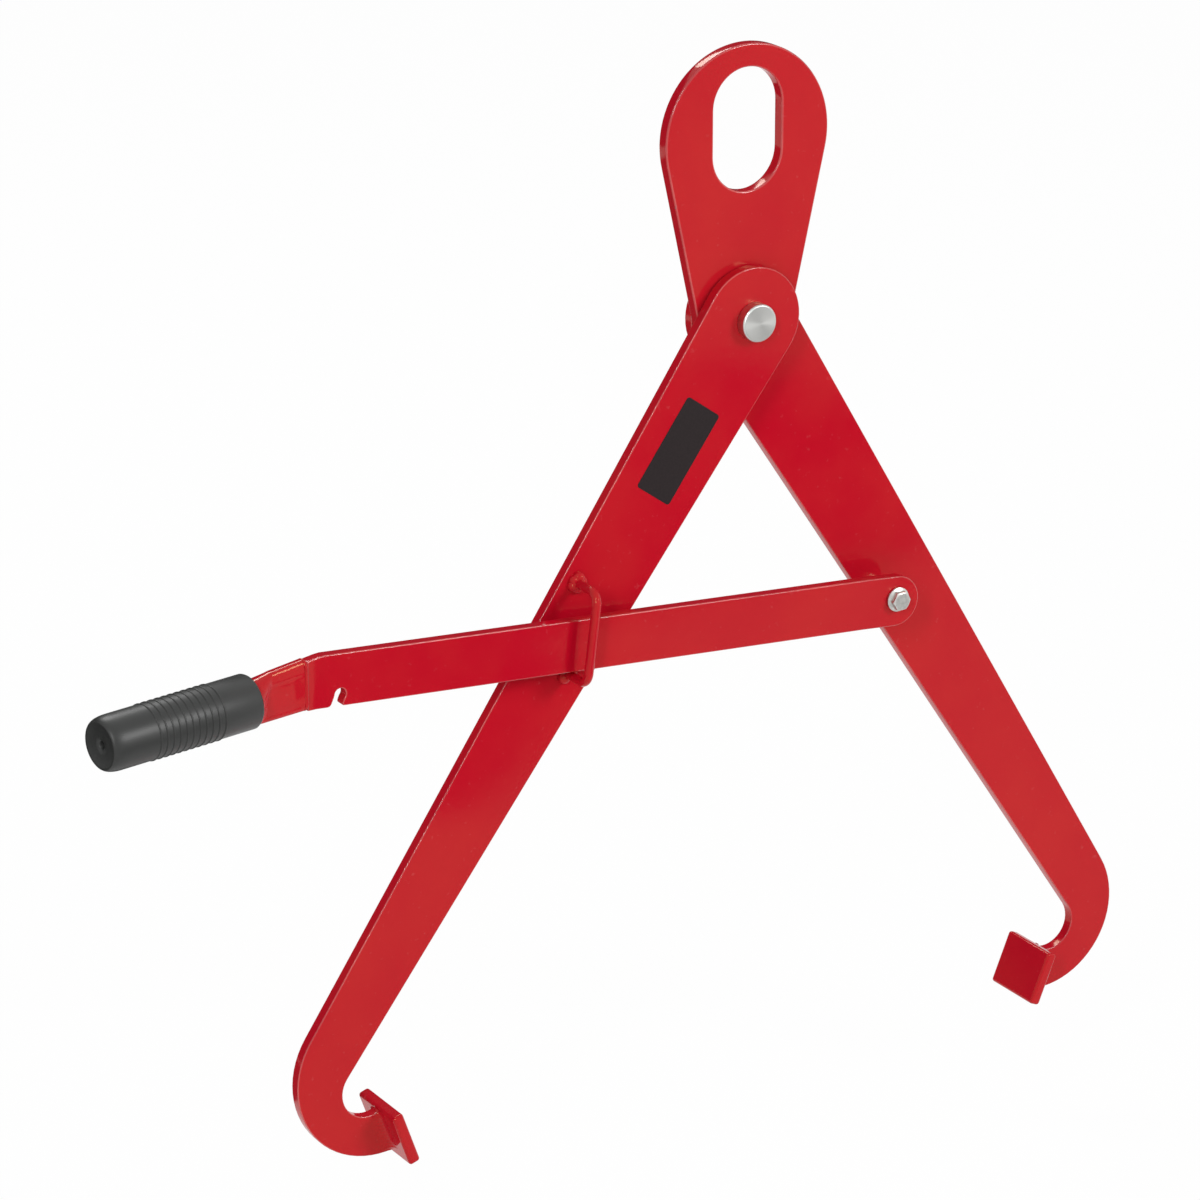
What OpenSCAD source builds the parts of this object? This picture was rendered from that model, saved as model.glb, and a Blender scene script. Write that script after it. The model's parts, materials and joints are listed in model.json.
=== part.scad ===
// Drum lifting tongs: two hooked arms on one pin under a lifting lug,
// with a locking lever that runs through a staple on the front arm.
// Origin: centre of the upper arc of the lifting eye. X right, Y away from the front, Z up.

/* [Lifting lug] */
// Thickness of the lug plate
lug_t = 9; // [8:0.5:14]
// Radius of the round top of the lug
lug_top_r = 60.5; // [54:0.5:70]
// Radius of the round lower end of the lug
lug_end_r = 34.5; // [30:0.5:38]
// Height of the centre of the round top above the pivot pin
lug_top_h = 118; // [110:1:130]
// Half width of the lifting eye
eye_r = 25.5; // [20:0.5:30]
// Height of the centre of the eye's upper arc above the pivot pin
pivot_drop = 138; // [130:1:145]
// Distance between the centres of the eye's two arcs
eye_straight = 29.5; // [15:0.5:35]

/* [Arms] */
// Thickness of each arm plate
arm_t = 8; // [6:0.5:12]
// Radius of the round upper end of an arm
arm_end_r = 35; // [30:0.5:40]
// Angle by which each long edge of an arm closes in towards the hook
arm_taper = 1.6; // [1:0.1:2]
// Angle of the front arm from the vertical
front_angle = 35.4; // [30:0.1:40]
// Angle of the rear arm from the vertical
rear_angle = 32.6; // [28:0.1:38]
// Distance along the arm from the pivot to the centre of the hook's outer curve
hook_q = 537; // [480:1:600]
// Radius of the outer curve of the hook
hook_outer_r = 57.6; // [52:0.2:64]
// Radius of the throat of the hook
hook_inner_r = 18.6; // [16:0.2:22]
// Distance of the throat's centre beyond the centre of the outer curve, along the arm
throat_shift = 12.5; // [10:0.5:15]

/* [Pads] */
// Length of a pad along the hook's tip
pad_h = 38; // [32:1:46]
// Width of a pad across the arm
pad_w = 48; // [36:1:60]
// Thickness of a pad
pad_t = 8; // [6:0.5:10]
// Distance of the pad's face from the throat's centre, square to the face
pad_n = 9.4; // [8:0.1:11]
// Distance of the pad's middle beyond the middle of the hook's tip
pad_shift = 1.2; // [0:0.1:3]
// Angle of the pad's face to the cross direction of the arm
pad_angle = 35.2; // [30:0.2:40]
// Leg length of the welds behind a pad
pad_weld_leg = 6; // [3:0.5:8]

/* [Pivot pin] */
// Diameter of the pin
pin_d = 16; // [12:0.5:20]
// Diameter of the pin's head
pin_head_d = 25; // [22:0.5:32]
// Thickness of the pin's head
pin_head_t = 8; // [4:0.5:10]
// Length of the pin behind its washer
pin_tail = 9; // [7:0.5:14]
// Thickness of the thrust washers on both faces of the lug
thrust_t = 0.8; // [0.5:0.1:1.5]
// Outer diameter of the thrust washers
thrust_d = 34; // [26:1:44]
// Thickness of the washer behind the rear arm
tail_washer_t = 3; // [2:0.5:4]
// Outer diameter of the washer behind the rear arm
tail_washer_d = 30; // [24:1:36]
// Diameter of the split pin
split_d = 3.2; // [2:0.1:4]

/* [Lever] */
// Width of the lever bar
lever_w = 34.5; // [30:0.5:38]
// Thickness of the lever bar
lever_t = 8; // [6:0.5:10]
// Angle by which the lever rises from its bolt to its handle
lever_rise = 4.2; // [2:0.1:6]
// Distance along the rear arm from the pivot to the lever bolt
bolt_q = 233.9; // [225:0.1:245]
// Distance of the lever bolt from the arm's middle line, towards the inside
bolt_p = 17.6; // [14:0.1:19]
// Distance of the bar's middle line below the bolt
lever_drop = 1.8; // [0:0.1:4]
// Length of the bush that holds the lever off the rear arm
bush_l = 16.8; // [14:0.1:22]
// Outer diameter of that bush
bush_d = 16; // [13:0.5:18]
// Distance from the bolt to the small set that leads the lever forward
set_u = 24; // [18:1:40]
// Angle of that set
set_angle = 2.3; // [0:0.1:3]
// Distance from the bolt to the bend before the handle
bend_u = 442; // [435:1:455]
// Angle of the bar after that bend, measured from its flat end
bend_angle = 12; // [8:0.5:20]
// Length of the bar from that bend to the handle's weld
short_l = 11; // [8:0.5:20]
// Drop of the bar's upper edge from that bend to the weld
end_dress = 3.5; // [0:0.5:5]
// Distance from the bolt to the middle of the locking notch
notch_u = 425; // [415:1:428]
// Depth of the locking notch above the lever's lower edge, at its middle
notch_depth = 7.6; // [6:0.2:11]
// Lean of the notch
notch_lean = 19; // [12:1:24]
// Length of the rounded corners at the notch's mouth
notch_mouth = 2.5; // [1.5:0.1:3]

/* [Staple] */
// Diameter of the staple's round bar
staple_d = 6; // [5:0.5:8]
// Distance from the lever bolt to the staple, along the lever
staple_u = 249; // [235:1:260]
// Room under the lever inside the staple
staple_room_low = 2.8; // [2:0.2:6]
// Room above the lever inside the staple, for lifting the notch
staple_room_high = 17; // [14:0.5:24]
// Room between the front of the lever and the staple at the notch
staple_room_front = 1; // [0.5:0.1:4]
// Lean of the staple towards the pivot at its top
staple_lean = 3; // [0:0.5:8]
// Middle radius of the staple's two bends
staple_bend_r = 8; // [6:0.5:10]
// Height of the welds round the staple's feet
staple_weld_h = 3; // [2:0.25:4]
// Spread of the welds round the staple's feet
staple_weld_leg = 2.5; // [1.5:0.25:4]

/* [Handle] */
// Outer diameter of the handle tube
tube_d = 25; // [22:0.5:27]
// Wall of the handle tube
tube_wall = 2.5; // [1.5:0.1:4]
// Thickness of the tube's flattened end
flat_t = 10; // [9:0.5:15]
// Length of the tube's flattened end
flat_l = 28; // [20:1:34]
// Length over which the flattened end opens into the round tube
open_l = 12; // [10:1:20]
// Length of the round part of the tube
tube_l = 101; // [85:1:110]
// Height of the tube's axis above the lever's middle line at the weld
tube_up = -0.5; // [-2:0.5:2]
// Angle by which the handle turns to the front
tube_yaw = 9.6; // [6:0.2:14]
// Angle by which the handle drops from the lever's line
tube_drop = 5; // [0:0.2:9]
// Length of the weld between the lever and the handle tube
handle_weld_l = 2.5; // [2:0.5:5]
// Height of that weld above the flattened tube
handle_weld_h = 0.4; // [0.3:0.1:2]

/* [Grip] */
// Outer diameter of the grip
grip_d = 35; // [32:0.5:40]
// Length of the grip
grip_l = 111.5; // [98:0.5:112]
// Width of the bevel round the grip's open end
grip_lip = 1.5; // [0.5:0.1:2.5]
// Number of ring ribs
rib_n = 11; // [6:1:14]
// Distance from one rib to the next
rib_pitch = 4.8; // [3.5:0.1:5]
// Width of a rib
rib_w = 1.6; // [1:0.1:2.5]
// Height of a rib
rib_h = 0.5; // [0.3:0.1:1]
// Distance from the grip's open end to its first rib
rib_start = 28; // [18:1:32]
// Length over which the far end is rounded
grip_round = 9; // [6:0.5:14]
// Diameter of the flat far end
grip_face_d = 30; // [18:0.5:32]
// Diameter of the air hole in the far end
grip_hole_d = 5; // [3:0.5:8]
// Thickness of the far end
grip_end_t = 10.5; // [5:0.5:12]

/* [Lever bolt] */
// Diameter of the lever bolt
bolt_d = 8; // [6:0.5:10]
// Width across the flats of the bolt head and the nut
bolt_flats = 12; // [10:0.5:14]
// Turn of the bolt head's hexagon
bolt_turn = 28; // [0:1:60]
// Length of the bolt beyond its nut
bolt_proud = 2; // [1:0.5:4]
// Height of the bolt head
bolt_head_h = 6.5; // [5:0.5:9]
// Diameter of the bolt's flange
bolt_flange_d = 16.5; // [15:0.5:20]
// Thickness of the flange at its rim
bolt_flange_t = 1.6; // [1:0.1:2.5]
// Height of the nut
nut_h = 8; // [6:0.5:10]
// Thickness of the washer under the nut
nut_washer_t = 1.6; // [1:0.1:2.5]
// Outer diameter of the washer under the nut
nut_washer_d = 17; // [15:0.5:22]

/* [Clearances] */
// Room between a pin or bolt and a hole that turns on it
run_clear = 0.06; // [0.02:0.01:0.1]
// Room between flat faces that slide on each other
face_clear = 0.2; // [0.1:0.05:0.5]
// Room between pieces that are set over each other on one body
seat_clear = 0.05; // [0.02:0.01:0.1]

/* [Hidden] */
$fn = 64;
steel_red = "#c41f2c";
zinc = "#c9cbcb";
charcoal = "#454648";

// Places across the tongs, from the lug's middle plane
arm_gap = thrust_t + face_clear;
arm_in = lug_t / 2 + arm_gap;
arm_out = arm_in + arm_t;
arm_mid = arm_in + arm_t / 2;

// Arm outline: p runs to the inside of the tongs, q runs down the arm
hook_p = (hook_outer_r - arm_end_r + hook_q * sin(arm_taper)) / cos(arm_taper);
throat_q = hook_q + throat_shift;
throat_p = (arm_end_r + hook_inner_r - throat_q * sin(arm_taper)) / cos(arm_taper);
pin_hole_r = pin_d / 2 + run_clear;
bolt_hole_r = bolt_d / 2 + run_clear;

// Where the pad's back cuts a circle of the hook, along the pad's face from the throat's centre
function along_face(p, q) = (p - throat_p) * cos(pad_angle) + (q - throat_q) * sin(pad_angle);
function out_of_face(p, q) = (p - throat_p) * sin(pad_angle) - (q - throat_q) * cos(pad_angle);
function pad_cut(p, q, r) = along_face(p, q) + sqrt(r * r - pow(pad_n - pad_t - out_of_face(p, q), 2));
cut_low = pad_cut(hook_p, hook_q, hook_outer_r);
cut_high = pad_cut(throat_p, throat_q, hook_inner_r);

// Middle of the pad's face, and the ends of the hook's tip along the pad
face_x = (cut_low + cut_high) / 2 + pad_shift;
face_p = throat_p + face_x * cos(pad_angle) + pad_n * sin(pad_angle);
face_q = throat_q + face_x * sin(pad_angle) - pad_n * cos(pad_angle);
tip_low = cut_low - face_x;
tip_high = cut_high - face_x;

// Lever bolt in the plane of the tongs, from the pivot
bolt_x = bolt_q * sin(rear_angle) - bolt_p * cos(rear_angle);
bolt_z = -bolt_q * cos(rear_angle) - bolt_p * sin(rear_angle);

// Lever across the tongs: its flat end stands off the rear arm on the bush
lever_back = arm_in - bush_l - face_clear;
lever_mid = lever_back - lever_t / 2;
lever_front = lever_back - lever_t;
bend_y = lever_mid - (bend_u - set_u) * tan(set_angle);
notch_front = lever_front - (notch_u - set_u) * tan(set_angle);
lever_low = -lever_drop - lever_w / 2;

// Staple: legs above and below the lever, front bar clear of the lever at its notch
staple_y = notch_front - staple_room_front - staple_d / 2;
staple_low = lever_low - staple_room_low - staple_d / 2;
staple_high = lever_low + lever_w + staple_room_high + staple_d / 2;
staple_span = (staple_high - staple_low) / cos(staple_lean);
staple_leg = -arm_out - staple_y - staple_bend_r;

// Handle: the flattened end keeps the girth of the round tube
flat_w = flat_t + PI * (tube_d - flat_t) / 2;
weld_y = bend_y - short_l * sin(bend_angle);
weld_u = bend_u + short_l * cos(bend_angle);
far_l = 60;

// Frames

module at_pivot() {
    translate([0, 0, -pivot_drop]) children();
}

// Hanging arm plane: X is p, Z is minus q
module front_frame() {
    at_pivot() rotate([0, front_angle, 0]) children();
}

module rear_frame() {
    at_pivot() rotate([0, -rear_angle, 0]) mirror([1, 0, 0]) children();
}

// Pad: X along its face towards the tip, Z out of its face
module pad_frame() {
    translate([face_p, 0, -face_q]) rotate([0, pad_angle, 0]) children();
}

// Lever: X from the bolt towards the handle, Z up across the bar
module lever_frame() {
    at_pivot() translate([bolt_x, 0, bolt_z]) rotate([0, lever_rise, 0]) mirror([1, 0, 0]) children();
}

// Staple: Z from its lower leg to its upper leg
module staple_frame() {
    lever_frame() translate([staple_u, 0, staple_low]) rotate([0, -staple_lean, 0]) children();
}

module handle_frame() {
    lever_frame() translate([weld_u, weld_y, tube_up - lever_drop]) rotate([0, tube_drop, -tube_yaw]) children();
}

// Lays a flat outline upright, from one depth to another
module plate(y_low, y_high) {
    translate([0, y_high, 0]) rotate([90, 0, 0]) linear_extrude(y_high - y_low) children();
}

// A round bar along Y, from one depth to another
module bar_y(d, y_low, y_high) {
    translate([0, y_low, 0]) rotate([-90, 0, 0]) cylinder(d = d, h = y_high - y_low);
}

module washer_y(d_out, d_in, y_low, y_high) {
    difference() {
        bar_y(d_out, y_low, y_high);
        bar_y(d_in, y_low - 1, y_high + 1);
    }
}

// Lifting lug

module lug_outline() {
    lean = asin((lug_top_r - lug_end_r) / lug_top_h);
    top_x = lug_top_r * cos(lean);
    end_x = lug_end_r * cos(lean);
    top_y = lug_top_h - lug_top_r * sin(lean);
    end_y = -lug_end_r * sin(lean);
    circle(r = lug_end_r);
    translate([0, lug_top_h]) circle(r = lug_top_r);
    polygon([[-end_x, end_y], [end_x, end_y], [top_x, top_y], [-top_x, top_y]]);
}

module eye_outline() {
    for (h = [pivot_drop - eye_straight, pivot_drop]) translate([0, h]) circle(r = eye_r);
    translate([-eye_r, pivot_drop - eye_straight]) square([2 * eye_r, eye_straight]);
}

module lifting_lug() {
    color(steel_red) at_pivot() plate(-lug_t / 2, lug_t / 2) difference() {
        lug_outline();
        eye_outline();
        circle(r = pin_hole_r);
    }
}

// Arms

module arm_body() {
    edge_x = arm_end_r * cos(arm_taper);
    edge_y = arm_end_r * sin(arm_taper);
    outer = [hook_p - hook_outer_r * cos(arm_taper), -hook_q - hook_outer_r * sin(arm_taper)];
    inner = [throat_p - hook_inner_r * cos(arm_taper), -throat_q + hook_inner_r * sin(arm_taper)];
    circle(r = arm_end_r);
    polygon([[-edge_x, -edge_y], outer, inner, [edge_x, -edge_y]]);
}

// The hook ends square behind its pad and opens above the throat
module arm_hook() {
    difference() {
        translate([hook_p, -hook_q]) circle(r = hook_outer_r);
        translate([throat_p, -throat_q]) circle(r = hook_inner_r);
        translate([face_p, -face_q]) rotate(-pad_angle) translate([-2 * hook_outer_r, -pad_t])
            square([4 * hook_outer_r, 4 * hook_outer_r]);
        translate([throat_p - hook_inner_r * cos(arm_taper), -throat_q]) rotate(arm_taper)
            square([2 * hook_outer_r, 2 * hook_outer_r]);
    }
}

module arm_outline() {
    difference() {
        union() {
            arm_body();
            arm_hook();
        }
        circle(r = pin_hole_r);
    }
}

module front_arm() {
    color(steel_red) front_frame() plate(-arm_out, -arm_in) arm_outline();
}

module rear_arm() {
    color(steel_red) rear_frame() plate(arm_in, arm_out) difference() {
        arm_outline();
        translate([bolt_p, -bolt_q]) circle(r = bolt_hole_r);
    }
}

// Pads and their welds

module pad(y_mid) {
    pad_frame() translate([-pad_h / 2, y_mid - pad_w / 2, -pad_t]) cube([pad_h, pad_w, pad_t]);
}

// One fillet along each side of the hook's tip
module pad_welds(y_mid) {
    pad_frame() for (side = [-1, 1]) translate([tip_high, y_mid + side * arm_t / 2, -pad_t])
        rotate([90, 0, 90]) linear_extrude(tip_low - tip_high)
            polygon([[0, 0], [side * pad_weld_leg, 0], [side * pad_weld_leg * 0.42, -pad_weld_leg * 0.42],
                [0, -pad_weld_leg]]);
}

module front_pad() {
    color(steel_red) front_frame() pad(-arm_mid);
}

module rear_pad() {
    color(steel_red) rear_frame() pad(arm_mid);
}

module front_pad_welds() {
    color(steel_red) front_frame() pad_welds(-arm_mid);
}

module rear_pad_welds() {
    color(steel_red) rear_frame() pad_welds(arm_mid);
}

// Pivot pin with its washers and split pin

tail_washer_y = arm_out + face_clear;
split_y = tail_washer_y + tail_washer_t + face_clear + split_d / 2;
pin_end_y = tail_washer_y + tail_washer_t + pin_tail;
head_y = -arm_out - face_clear;
chamfer = 1;

module pivot_pin() {
    color(zinc) at_pivot() difference() {
        union() {
            translate([0, head_y, 0]) rotate([90, 0, 0]) rotate_extrude()
                polygon([[0, 0], [pin_head_d / 2, 0], [pin_head_d / 2, pin_head_t - chamfer],
                    [pin_head_d / 2 - chamfer, pin_head_t], [0, pin_head_t]]);
            bar_y(pin_d, head_y, pin_end_y - chamfer);
            translate([0, pin_end_y - chamfer, 0]) rotate([-90, 0, 0])
                cylinder(d1 = pin_d, d2 = pin_d - 2 * chamfer, h = chamfer);
        }
        translate([0, split_y, -pin_d]) cylinder(d = split_d + 2 * seat_clear, h = 2 * pin_d);
    }
}

module thrust_washers() {
    color(zinc) at_pivot() {
        washer_y(thrust_d, 2 * pin_hole_r, lug_t / 2, lug_t / 2 + thrust_t);
        washer_y(thrust_d, 2 * pin_hole_r, -lug_t / 2 - thrust_t, -lug_t / 2);
    }
}

module tail_washer() {
    color(zinc) at_pivot()
        washer_y(tail_washer_d, 2 * pin_hole_r, tail_washer_y, tail_washer_y + tail_washer_t);
}

// A ring above the pin, a shank through it and two legs spread below it
module split_pin() {
    ring_r = split_d;
    leg_l = pin_d * 0.45;
    shank_low = -pin_d / 2 - split_d;
    color(zinc) at_pivot() translate([0, split_y, 0]) {
        translate([0, 0, shank_low]) cylinder(d = split_d, h = pin_d + 2 * split_d);
        translate([0, 0, pin_d / 2 + split_d + ring_r]) rotate([90, 0, 0]) rotate_extrude()
            translate([ring_r, 0]) circle(d = split_d * 0.6);
        for (side = [-1, 1]) translate([side * split_d * 0.2, 0, shank_low + split_d * 0.2])
            rotate([0, 180 - side * 40, 0]) cylinder(d = split_d * 0.6, h = leg_l);
    }
}

// Guide staple on the front arm

// A quarter bend from a leg into the front bar
module staple_corner(z) {
    translate([0, -arm_out - staple_leg, z + staple_bend_r]) rotate([0, 90, 0]) rotate(-90)
        rotate_extrude(angle = 90) translate([staple_bend_r, 0]) circle(d = staple_d);
}

module guide_staple() {
    color(steel_red) staple_frame() {
        for (z = [0, staple_span]) translate([0, 0, z]) bar_y(staple_d, -arm_out - staple_leg, -arm_out);
        translate([0, staple_y, staple_bend_r]) cylinder(d = staple_d, h = staple_span - 2 * staple_bend_r);
        staple_corner(0);
        mirror([0, 0, 1]) staple_corner(-staple_span);
    }
}

module staple_welds() {
    foot_r = staple_d / 2 + seat_clear;
    color(steel_red) staple_frame() for (z = [0, staple_span]) translate([0, -arm_out, z])
        rotate([90, 0, 0]) rotate_extrude()
            polygon([[foot_r, 0], [foot_r + staple_weld_leg, 0],
                [foot_r + staple_weld_leg * 0.6, staple_weld_h * 0.6], [foot_r, staple_weld_h]]);
}

// Locking lever: a bar bent in plan, cut to its side outline

// Middle line of the bar in plan: flat end, set, bend and short end, each with its heading and half turn
bend_half = (bend_angle - set_angle) / 2;
lever_path = [
    [-lever_w, lever_mid, 0, 0],
    [set_u, lever_mid, set_angle / 2, set_angle / 2],
    [bend_u, bend_y, set_angle + bend_half, bend_half],
    [bend_u + far_l * cos(bend_angle), bend_y - far_l * sin(bend_angle), bend_angle, 0]];

function side_point(p, half) = [p[0] + half * sin(p[2]) / cos(p[3]), p[1] + half * cos(p[2]) / cos(p[3])];
function side_points(path, half) = [for (p = path) side_point(p, half)];
function backwards(list) = [for (i = [len(list) - 1:-1:0]) list[i]];

module lever_plan() {
    polygon(concat(side_points(lever_path, lever_t / 2), backwards(side_points(lever_path, -lever_t / 2))));
}

// A corner of the notch's mouth: the side is -1 towards the bolt and 1 towards the handle
function mouth_at(side, wall) = [side * wall / cos(notch_lean) + notch_depth * tan(notch_lean), -notch_depth];
function mouth_round(side, wall) = let (c = mouth_at(side, wall),
    up = c + notch_mouth * [-sin(notch_lean), cos(notch_lean)], out = c + [side * notch_mouth, 0])
    [for (i = [0:5]) let (t = i / 5) (1 - t) * (1 - t) * up + 2 * t * (1 - t) * c + t * t * out];

module mouth_corner(side, wall) {
    curve = mouth_round(side, wall);
    inside = [-side * wall / 2, 0];
    below = [0, -notch_mouth];
    polygon(concat(curve, [curve[5] + below, mouth_at(side, wall) + inside + below, curve[0] + inside]));
}

// The notch leans towards the handle, with a round hook at its mouth on the bolt's side
module notch_outline() {
    notch_r = staple_d / 2 + staple_room_front;
    wall = notch_r * 0.92;
    circle(r = notch_r);
    rotate(notch_lean) translate([-wall, -lever_w]) square([2 * wall, lever_w]);
    for (side = [-1, 1]) mouth_corner(side, wall);
}

module lever_side() {
    difference() {
        union() {
            translate([0, -lever_drop]) circle(d = lever_w);
            translate([0, lever_low]) square([bend_u + 2 * far_l, lever_w]);
        }
        circle(r = bolt_hole_r);
        translate([notch_u, lever_low + notch_depth]) notch_outline();
        translate([bend_u - lever_t / 2, lever_low + lever_w]) polygon([[0, 0], [8 * short_l, -8 * end_dress],
            [8 * short_l, lever_w], [0, lever_w]]);
    }
}

module locking_lever() {
    reach = bend_u + 2 * far_l;
    color(steel_red) difference() {
        lever_frame() intersection() {
            linear_extrude(2 * lever_w, center = true) lever_plan();
            plate(-reach, reach) lever_side();
        }
        handle_frame() translate([-handle_weld_l, -reach / 2, -reach / 2]) cube([reach, reach, reach]);
    }
}

// Lever bolt, bush, washer and nut

bolt_tip = arm_out + nut_washer_t + nut_h + bolt_proud;

module at_bolt() {
    at_pivot() translate([bolt_x, 0, bolt_z]) rotate([0, -rear_angle, 0]) children();
}

module lever_bolt() {
    cone_h = bolt_flange_t * 0.6;
    under = lever_front - face_clear;
    color(zinc) at_bolt() {
        bar_y(bolt_d, under, bolt_tip);
        translate([0, under, 0]) rotate([90, 0, 0]) {
            cylinder(d = bolt_flange_d, h = bolt_flange_t);
            translate([0, 0, bolt_flange_t]) cylinder(d1 = bolt_flange_d, d2 = bolt_flats, h = cone_h);
            rotate(bolt_turn) cylinder(d = bolt_flats / cos(30), h = bolt_head_h, $fn = 6);
        }
    }
}

module lever_bush() {
    color(zinc) at_bolt() washer_y(bush_d, bolt_d + 2 * seat_clear, arm_in - bush_l, arm_in);
}

module nut_washer() {
    color(zinc) at_bolt()
        washer_y(nut_washer_d, bolt_d + 2 * seat_clear, arm_out, arm_out + nut_washer_t);
}

// A locking nut: hexagon with a round collar
module lever_nut() {
    collar = nut_h * 0.3;
    seat_y = arm_out + nut_washer_t;
    color(zinc) at_bolt() difference() {
        translate([0, seat_y, 0]) rotate([-90, 0, 0]) {
            cylinder(d = bolt_flats / cos(30), h = nut_h - collar, $fn = 6);
            cylinder(d = bolt_flats * 0.94, h = nut_h);
        }
        bar_y(bolt_d + 2 * seat_clear, seat_y - 1, seat_y + nut_h + 1);
    }
}

// Handle: flattened tube welded to the lever, with a ribbed grip

module flat_outline(grow) {
    straight = flat_w - flat_t;
    for (s = [-0.5, 0.5]) translate([s * straight, 0]) circle(d = flat_t + 2 * grow);
    square([straight, flat_t + 2 * grow], center = true);
}

// Stands an outline across the handle: its first axis goes up, its second to the front
module across_handle(l) {
    rotate([0, 90, 0]) linear_extrude(l) children();
}

module handle_tube() {
    round_x = flat_l + open_l;
    sliver = 0.01;
    lap = 0.6;
    inset = 0.1;
    color(steel_red) handle_frame() difference() {
        union() {
            across_handle(flat_l) flat_outline(0);
            // The opening stretch starts just inside the flattened end
            hull() {
                translate([flat_l - lap, 0, 0]) across_handle(sliver) flat_outline(-inset, $fn = 32);
                translate([round_x, 0, 0]) across_handle(sliver) circle(d = tube_d, $fn = 48);
            }
            translate([round_x, 0, 0]) rotate([0, 90, 0]) cylinder(d = tube_d, h = tube_l);
        }
        translate([round_x + tube_wall, 0, 0]) rotate([0, 90, 0])
            cylinder(d = tube_d - 2 * tube_wall, h = tube_l);
    }
}

module handle_weld() {
    color(steel_red) handle_frame() translate([-handle_weld_l, 0, 0])
        across_handle(handle_weld_l) flat_outline(handle_weld_h);
}

// Outline of the grip from its open end to its closed end, as radius over length
function rib_points(r) = [for (i = [0:rib_n - 1]) let (x = rib_start + i * rib_pitch)
    each [[r, x], [r + rib_h, x + rib_w * 0.3], [r + rib_h, x + rib_w * 0.7], [r, x + rib_w]]];
function round_points(r, l) = [for (i = [0:6]) let (a = 90 * i / 6)
    [grip_face_d / 2 + (r - grip_face_d / 2) * cos(a), l - grip_round + grip_round * sin(a)]];

module hand_grip() {
    r = grip_d / 2;
    bore_r = tube_d / 2 + seat_clear;
    color(charcoal) handle_frame() translate([flat_l + open_l + tube_l + grip_end_t - grip_l + seat_clear, 0, 0])
        rotate([0, 90, 0]) rotate_extrude()
            polygon(concat([[bore_r, 0], [r - grip_lip, 0], [r, grip_lip]], rib_points(r),
                round_points(r, grip_l),
                [[grip_hole_d / 2, grip_l], [grip_hole_d / 2, grip_l - grip_end_t], [bore_r, grip_l - grip_end_t]]));
}

lifting_lug();
front_arm();
rear_arm();
pivot_pin();
thrust_washers();
tail_washer();
split_pin();
front_pad();
rear_pad();
front_pad_welds();
rear_pad_welds();
guide_staple();
staple_welds();
locking_lever();
lever_bolt();
lever_bush();
nut_washer();
lever_nut();
handle_tube();
handle_weld();
hand_grip();
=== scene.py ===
import json
import math

import bmesh
import bpy
from mathutils import Matrix, Vector

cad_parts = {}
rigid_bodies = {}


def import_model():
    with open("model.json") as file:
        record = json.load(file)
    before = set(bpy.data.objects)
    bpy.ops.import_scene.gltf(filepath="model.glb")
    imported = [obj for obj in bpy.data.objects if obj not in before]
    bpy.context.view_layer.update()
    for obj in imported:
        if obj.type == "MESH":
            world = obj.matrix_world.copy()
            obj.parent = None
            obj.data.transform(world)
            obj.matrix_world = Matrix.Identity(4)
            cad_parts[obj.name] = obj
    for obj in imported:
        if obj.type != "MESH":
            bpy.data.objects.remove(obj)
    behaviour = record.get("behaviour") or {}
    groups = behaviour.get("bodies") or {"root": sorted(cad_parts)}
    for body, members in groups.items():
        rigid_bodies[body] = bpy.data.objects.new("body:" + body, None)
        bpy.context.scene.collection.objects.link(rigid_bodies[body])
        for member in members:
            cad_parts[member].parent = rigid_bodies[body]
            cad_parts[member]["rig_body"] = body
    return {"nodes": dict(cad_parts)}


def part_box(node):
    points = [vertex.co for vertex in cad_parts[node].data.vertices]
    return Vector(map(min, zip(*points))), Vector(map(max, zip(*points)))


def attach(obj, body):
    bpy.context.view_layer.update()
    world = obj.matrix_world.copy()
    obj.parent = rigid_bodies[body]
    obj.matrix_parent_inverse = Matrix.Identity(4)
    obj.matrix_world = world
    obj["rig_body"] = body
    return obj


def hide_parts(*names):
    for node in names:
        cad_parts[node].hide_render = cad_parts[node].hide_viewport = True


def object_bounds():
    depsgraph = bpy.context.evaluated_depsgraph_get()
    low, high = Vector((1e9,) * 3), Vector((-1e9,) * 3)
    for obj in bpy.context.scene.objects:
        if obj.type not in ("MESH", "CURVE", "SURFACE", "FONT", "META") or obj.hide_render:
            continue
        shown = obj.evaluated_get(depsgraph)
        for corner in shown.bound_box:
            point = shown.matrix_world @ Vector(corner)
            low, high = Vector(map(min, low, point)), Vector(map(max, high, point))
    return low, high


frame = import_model()
cad_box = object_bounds()

# Lifting lug: a teardrop of 9 mm steel plate with an obround eye for the hoist hook.
# Cut from plate, its edges broken with a file, then sprayed in gloss enamel.
# It hangs from the hook and carries the pivot pin.


def linear(code):
    """A colour written as sRGB hex, as the linear colour that a shader takes."""
    parts = [int(code[i:i + 2], 16) / 255 for i in (1, 3, 5)]
    return [c / 12.92 if c <= 0.04045 else ((c + 0.055) / 1.055) ** 2.4 for c in parts] + [1]


def add(tree, kind, inputs=None, **settings):
    """Adds a node with its settings; each input is a plain value or another node's socket."""
    node = tree.nodes.new(kind)
    for name, value in settings.items():
        setattr(node, name, value)
    for name, value in (inputs or {}).items():
        if isinstance(value, bpy.types.NodeSocket):
            tree.links.new(value, node.inputs[name])
        else:
            node.inputs[name].default_value = value
    return node


def new_finish(name):
    """An empty material with its node tree and the piece's own coordinates, in metres."""
    material = bpy.data.materials.new(name)
    material.use_nodes = True
    material.node_tree.nodes.clear()
    return material, material.node_tree, add(material.node_tree, "ShaderNodeTexCoord").outputs["Object"]


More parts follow.
